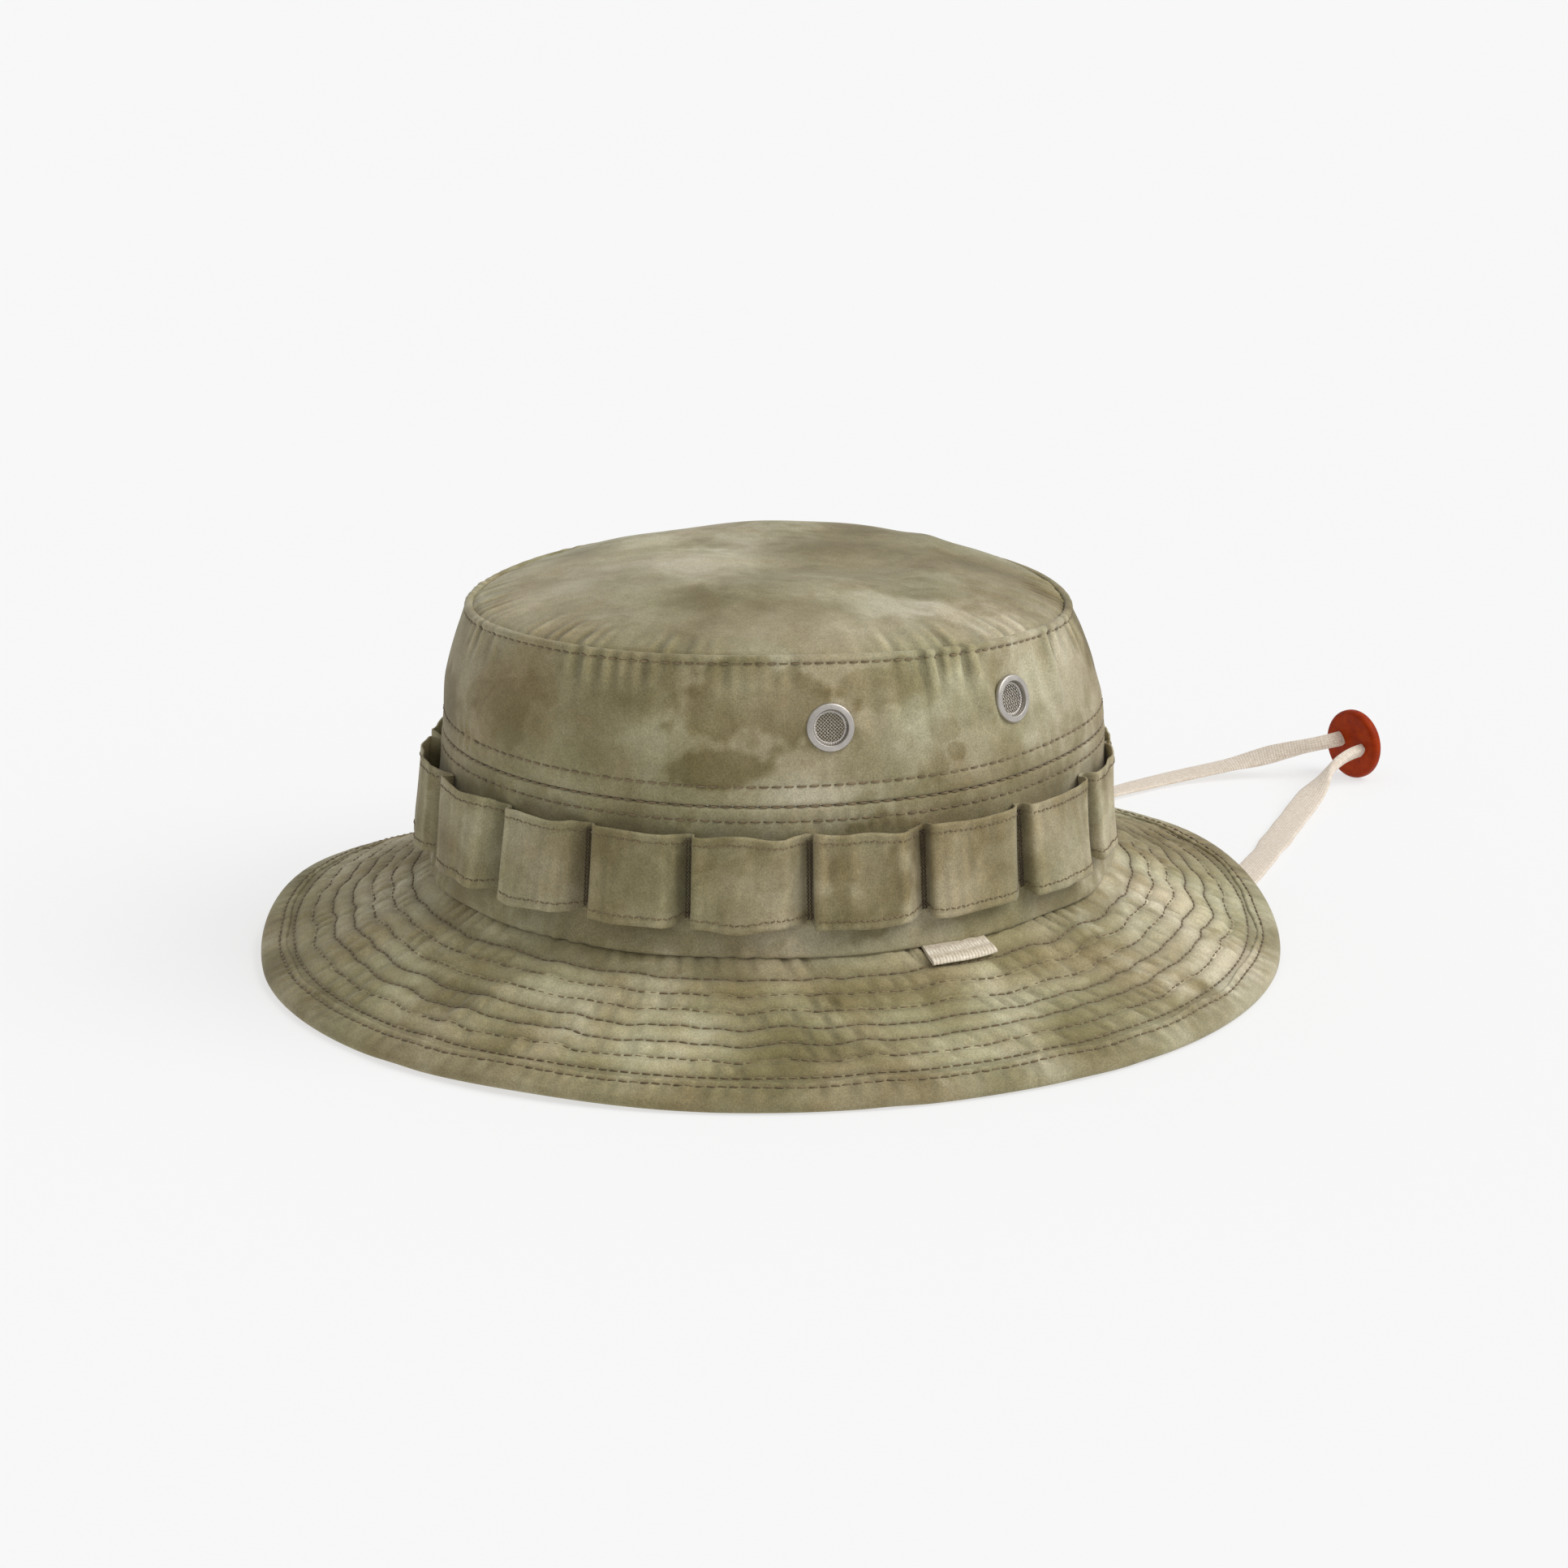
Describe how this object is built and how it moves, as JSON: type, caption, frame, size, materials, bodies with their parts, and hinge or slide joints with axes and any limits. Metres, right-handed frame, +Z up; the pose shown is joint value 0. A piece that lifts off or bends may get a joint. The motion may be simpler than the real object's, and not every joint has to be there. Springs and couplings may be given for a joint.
{
  "type": "boonie hat",
  "caption": "Soft wide-brimmed cloth hat with a quilted brim, a band of foliage loops, screened eyelets and a chin cord with a leather toggle.",
  "frame": {"origin": "on the floor that the brim's edge stands on, under the middle of the brim", "axes": "+Z up; +Y to the wearer's back, so the front is -Y; +X to the wearer's left"},
  "size_m": [0.2838, 0.4032, 0.1167],
  "materials": {
    "hat_cloth": "washed cotton cloth, soft camouflage print, matt",
    "lining_tape": "plain cotton tape",
    "interlining": "unbleached cotton interlining",
    "tack_thread": "brown sewing thread",
    "eyelet_metal": "brushed, nickel-coloured",
    "eyelet_screen": "woven wire, darkened",
    "label_tape": "ribbed woven tape, cream",
    "cord_cotton": "flat braided cotton, cream",
    "toggle_leather": "vegetable-tanned, burnt orange, waxed"
  },
  "bodies": {
    "hat": {"brim_top_layer": "hat_cloth", "brim_interlining": "interlining", "brim_bottom_layer": "hat_cloth", "brim_binding": "hat_cloth", "crown_side_upper": "hat_cloth", "crown_side_lower": "hat_cloth", "crown_tip": "hat_cloth", "tip_seam_tape": "lining_tape", "sweatband": "lining_tape", "eyelet_ring_left_front": "eyelet_metal", "eyelet_ring_left_rear": "eyelet_metal", "eyelet_ring_right_rear": "eyelet_metal", "eyelet_ring_right_front": "eyelet_metal", "eyelet_washer_left_front": "eyelet_metal", "eyelet_washer_left_rear": "eyelet_metal", "eyelet_washer_right_rear": "eyelet_metal", "eyelet_washer_right_front": "eyelet_metal", "eyelet_mesh_left_front": "eyelet_screen", "eyelet_mesh_left_rear": "eyelet_screen", "eyelet_mesh_right_rear": "eyelet_screen", "eyelet_mesh_right_front": "eyelet_screen", "foliage_loop_01": "hat_cloth", "foliage_loop_02": "hat_cloth", "foliage_loop_03": "hat_cloth", "foliage_loop_04": "hat_cloth", "foliage_loop_05": "hat_cloth", "foliage_loop_06": "hat_cloth", "foliage_loop_07": "hat_cloth", "foliage_loop_08": "hat_cloth", "foliage_loop_09": "hat_cloth", "foliage_loop_10": "hat_cloth", "foliage_loop_11": "hat_cloth", "foliage_loop_12": "hat_cloth", "foliage_loop_13": "hat_cloth", "foliage_loop_14": "hat_cloth", "foliage_loop_15": "hat_cloth", "foliage_loop_16": "hat_cloth", "foliage_loop_17": "hat_cloth", "foliage_loop_18": "hat_cloth", "foliage_bar_tacks": "tack_thread", "side_label": "label_tape", "cord_tab_left": "lining_tape", "cord_tab_right": "lining_tape", "chin_cord": "cord_cotton"},
    "toggle": {"cord_toggle": "toggle_leather"}
  },
  "joints": [
    {"name": "toggle_slide", "type": "slide", "parent": "hat", "child": "toggle", "axis": [0.1564, -0.9877, 0], "range_m": [0, 0.06], "deforming": ["chin_cord"]}
  ]
}
